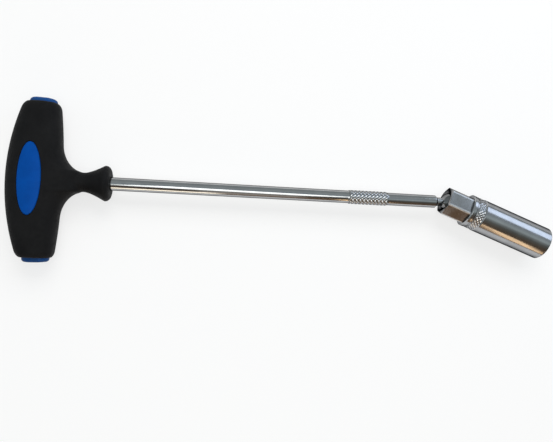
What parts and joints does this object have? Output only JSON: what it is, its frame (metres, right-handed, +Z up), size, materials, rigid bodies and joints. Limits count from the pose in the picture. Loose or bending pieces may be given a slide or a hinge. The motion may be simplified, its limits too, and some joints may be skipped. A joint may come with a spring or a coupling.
{
  "type": "spark plug socket wrench",
  "caption": "T-handle spark plug wrench: rubber grip over a moulded core, chromed rod with a knurled band, and a hexagonal plug socket on a universal joint.",
  "frame": {"origin": "centre of the socket's mouth, on the socket's axis", "axes": "+X along the socket's axis, out of the mouth; +Z up, along the cross pin, with the wrench lying on its side"},
  "size_m": [0.418, 0.1836, 0.027],
  "materials": {
    "core_plastic": "moulded, slightly glossy blue",
    "grip_rubber": "soft matt black overmould",
    "rod_chrome": "bright chrome plate, diamond knurl on the band",
    "socket_chrome": "bright chrome plate, diamond knurl on the band",
    "pin_steel": "ground steel",
    "spring_steel": "oiled spring steel",
    "disc_steel": "turned steel",
    "insert_rubber": "matt black rubber"
  },
  "bodies": {
    "handle": {"handle_core": "core_plastic", "handle_grip": "grip_rubber", "shaft": "rod_chrome"},
    "cross_pin": {"joint_pin": "pin_steel"},
    "socket": {"socket": "socket_chrome", "joint_spring": "spring_steel", "spring_disc": "disc_steel", "plug_insert": "insert_rubber"}
  },
  "joints": [
    {"name": "joint_swing", "type": "hinge", "parent": "handle", "child": "cross_pin", "pos_m": [-0.0868, 0, 0], "axis": [0, 0, 1], "range_deg": [-4.8, 45.2]},
    {"name": "joint_tilt", "type": "hinge", "parent": "cross_pin", "child": "socket", "pos_m": [-0.0868, 0, 0], "axis": [0, 1, 0], "range_deg": [-25, 25]}
  ]
}
